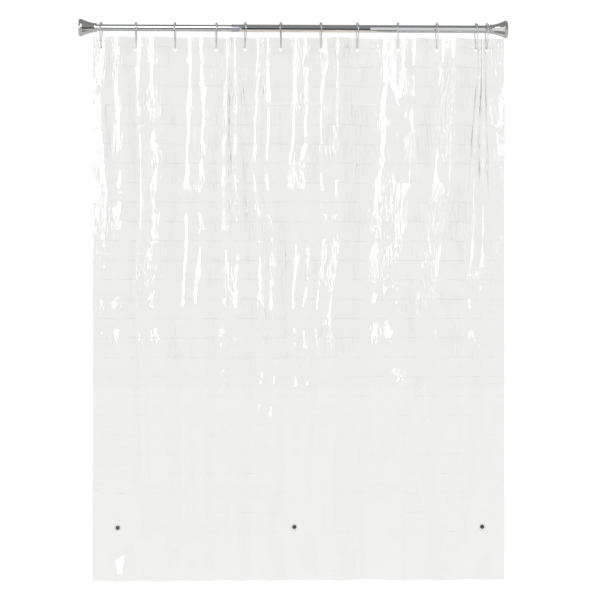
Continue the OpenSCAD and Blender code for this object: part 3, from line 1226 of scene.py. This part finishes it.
@dataclass(frozen=True)
class KeptNodes:
    """CAD nodes whose shapes are right: they get smooth shading and a finish."""

    crease_angle: float = 35.0

    def dress(self, name: str, choice: Finish) -> None:
        """Give one CAD node its finish.

        Args:
            name: The node's name.
            choice: Its finish.
        """
        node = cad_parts[name]
        node.data.materials.clear()
        node.data.materials.append(finish(choice))
        node.data.polygons.foreach_set("use_smooth", [True] * len(node.data.polygons))
        weld = node.modifiers.new("weld", "WELD")
        weld.merge_threshold = 1e-6
        split = node.modifiers.new("edges", "EDGE_SPLIT")
        split.split_angle = math.radians(self.crease_angle)

    def build(self) -> None:
        """Dress every CAD node that stays: the rod's inside."""
        finishes = {
            "left_foot": Finish.PLASTIC,
            "right_foot": Finish.PLASTIC,
            "spindle_plug": Finish.PLASTIC,
            "stop_bush": Finish.PLASTIC,
            "lock_nut": Finish.PLASTIC,
            "threaded_spindle": Finish.STEEL,
            "spindle_washer": Finish.STEEL,
            "tension_spring": Finish.STEEL,
        }
        for name, choice in finishes.items():
            self.dress(name, choice)


# ---------------------------------------------------------------- studio


@dataclass(frozen=True)
class Card:
    """A card that only gloss sees, flat in one axis: its corners, its colour and its strength."""

    name: str
    low: tuple[float, float, float]
    high: tuple[float, float, float]
    colour: str
    strength: float = 1.0

    def build(self) -> None:
        """Stand the card in the studio."""
        flat = next(k for k in range(3) if self.low[k] == self.high[k])
        wide = 0 if flat else 1
        corners = np.array([self.low, self.low, self.high, self.high], dtype=float)
        corners[1, wide] = self.high[wide]
        corners[3, wide] = self.low[wide]
        board = mesh_piece(self.name, corners, [[0, 1, 2, 3]])
        material, _, shader = new_material(f"Studio_{self.name}")
        shader.inputs["Base Color"].default_value = (0, 0, 0, 1)
        shader.inputs["Specular IOR Level"].default_value = 0.0
        shader.inputs["Emission Color"].default_value = linear(self.colour)
        shader.inputs["Emission Strength"].default_value = self.strength
        board.data.materials.append(material)
        board.visible_camera = board.visible_transmission = False
        board.visible_diffuse = board.visible_shadow = False
        board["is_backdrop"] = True


# What the chrome mirrors: a bright card above, darker strips in front of each stretch of the rod,
# a warm one under its middle and black ones beside the caps. The flag keeps the soft box off the
# sheet's right-hand end.
CARDS = (
    Card("high_card", (-0.3, -2.5, 0.36), (0.53, -2.5, 2.6), "FFFFFF", 3.0),
    Card("left_strip", (0.066, -0.12, -0.066), (0.515, -0.12, -0.012), "3E3E40"),
    Card("right_strip", (0.55, -0.12, -0.09), (0.99, -0.12, -0.004), "060607"),
    Card("far_strip", (0.99, -0.12, -0.09), (1.385, -0.12, 0.07), "EAEAEB"),
    Card("warm_plate", (0.54, -0.08, -0.25), (1.02, 0.4, -0.25), "EFE2D2", 1.1),
    Card("left_flag", (1.08, -0.9, -1.9), (1.08, -0.05, -0.06), "909090"),
    Card("left_cap_card", (0.2, -0.6, -0.05), (0.2, -0.04, -0.01), "050506"),
    Card("right_cap_card", (1.2085, -0.6, -0.045), (1.2085, -0.04, -0.018), "050506"),
)


@dataclass(frozen=True)
class Studio:
    """A plain white studio: pale floor, white surround, one soft box, cards and a long lens."""

    floor_gap: float = 0.12
    camera_target: tuple[float, float, float] = (0.745, 0, -0.917)
    camera_distance: float = 8.0
    camera_left: float = 0.275
    camera_drop: float = 0.1
    lens: float = 142.4
    box_place: tuple[float, float, float] = (-1.4, -3.4, 0.19)
    box_height: float = 0.19
    box_size: tuple[float, float] = (1.3, 1.6)
    box_power: float = 48
    floor_in_gloss: float = 0.5

    def seen_or_mirrored(self, tree: bpy.types.NodeTree, seen: float) -> bpy.types.Node:
        """A level for what is looked at, straight or through the film, and another for the rest.

        Args:
            tree: The node tree that gets the nodes.
            seen: The level for camera and transmitted rays.

        Returns:
            A Mix node whose input A takes the level that gloss and diffuse rays meet.
        """
        path = add_node(tree, "ShaderNodeLightPath")
        either = add_node(tree, "ShaderNodeMath", {"operation": "MAXIMUM"})
        tree.links.new(path.outputs["Is Camera Ray"], either.inputs[0])
        tree.links.new(path.outputs["Is Transmission Ray"], either.inputs[1])
        return add_node(
            tree,
            "ShaderNodeMix",
            inputs={"B": seen},
            links={"Factor": either.outputs["Value"]},
        )

    def world(self) -> None:
        """White surround that mirrors see as a dim room, so that gloss has something to show."""
        world = bpy.data.worlds.new("studio")
        bpy.context.scene.world = world
        world.use_nodes = True
        tree = world.node_tree
        background = tree.nodes["Background"]
        coords = add_node(tree, "ShaderNodeTexCoord")
        split = add_node(
            tree, "ShaderNodeSeparateXYZ", links={"Vector": coords.outputs["Generated"]}
        )
        room = add_node(
            tree,
            "ShaderNodeMapRange",
            inputs={"From Min": 0.0, "From Max": 0.9, "To Min": 0.32, "To Max": 0.26},
            links={"Value": split.outputs["Z"]},
        )
        level = self.seen_or_mirrored(tree, 1.02)
        tree.links.new(room.outputs["Result"], level.inputs["A"])
        background.inputs["Color"].default_value = (1, 1, 1, 1)
        tree.links.new(level.outputs["Result"], background.inputs["Strength"])

    def floor(self, bottom: float, middle: float) -> None:
        """Lay a wide pale floor under the curtain.

        Args:
            bottom: Height of the object's lowest point.
            middle: The object's middle along X.
        """
        deselect_all()
        bpy.ops.mesh.primitive_plane_add(size=60, location=(middle, 0, bottom - self.floor_gap))
        floor = bpy.context.object
        floor.name = "studio_floor"
        material, tree, shader = new_material("Pale_studio_floor")
        shader.inputs["Base Color"].default_value = linear("50504F")
        shader.inputs["Roughness"].default_value = 0.9
        shader.inputs["Emission Color"].default_value = (1, 1, 1, 1)
        level = self.seen_or_mirrored(tree, 0.99)
        level.inputs["A"].default_value = self.floor_in_gloss
        tree.links.new(level.outputs["Result"], shader.inputs["Emission Strength"])
        floor.data.materials.append(material)
        floor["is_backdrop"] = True

    def soft_box(
        self, name: str, place_at: tuple, look_at: tuple, size: tuple, power: float, colour: str
    ) -> None:
        """Hang one soft box.

        Args:
            name: The light's name.
            place_at: Where it stands.
            look_at: What it faces.
            size: Its width and height, in metres.
            power: Its power, in watts.
            colour: Its colour.
        """
        light = bpy.data.lights.new(name, "AREA")
        light.shape = "RECTANGLE"
        light.size, light.size_y = size
        light.energy = power
        light.color = linear(colour)[:3]
        lamp = bpy.data.objects.new(name, light)
        bpy.context.scene.collection.objects.link(lamp)
        lamp.location = place_at
        facing = Vector(look_at) - Vector(place_at)
        lamp.rotation_euler = facing.to_track_quat("-Z", "Y").to_euler()
        lamp.visible_camera = False

    def camera(self) -> None:
        """Stand the camera a little left of the middle, level, with a long lens."""
        camera = bpy.data.cameras.new("camera")
        camera.lens = self.lens
        camera.clip_end = 100
        stand = bpy.data.objects.new("camera", camera)
        bpy.context.scene.collection.objects.link(stand)
        target = Vector(self.camera_target)
        away = Vector((-self.camera_left, -self.camera_distance, -self.camera_drop))
        stand.location = target + away
        stand.rotation_euler = (target - stand.location).to_track_quat("-Z", "Y").to_euler()
        bpy.context.scene.camera = stand

    def build(self, low: Vector, high: Vector) -> None:
        """Set the whole studio round the object's box.

        Args:
            low: The box's lowest corner.
            high: Its highest corner.
        """
        middle = (low.x + high.x) / 2
        self.world()
        self.floor(low.z, middle)
        self.camera()
        look_at = (middle, 0, self.box_height)
        self.soft_box("left_box", self.box_place, look_at, self.box_size, self.box_power, "FFFFFF")
        for card in CARDS:
            card.build()
        bpy.context.scene.view_settings.view_transform = "Standard"


def main() -> None:
    """Build the curtain's pieces in order."""
    logging.basicConfig(level=logging.INFO, format="%(message)s")
    cad_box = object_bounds()
    KeptNodes().build()
    LOG.info("kept nodes dressed")
    HungSheet().build()
    LOG.info("sheet hung")
    RodMetal().build()
    LOG.info("rod turned")
    RollerRings().build()
    LOG.info("rings hung")
    HemMagnets().build()
    LOG.info("magnets in their pockets")
    Studio().build(*cad_box)
    LOG.info("sizes written")


if __name__ == "__main__":
    main()
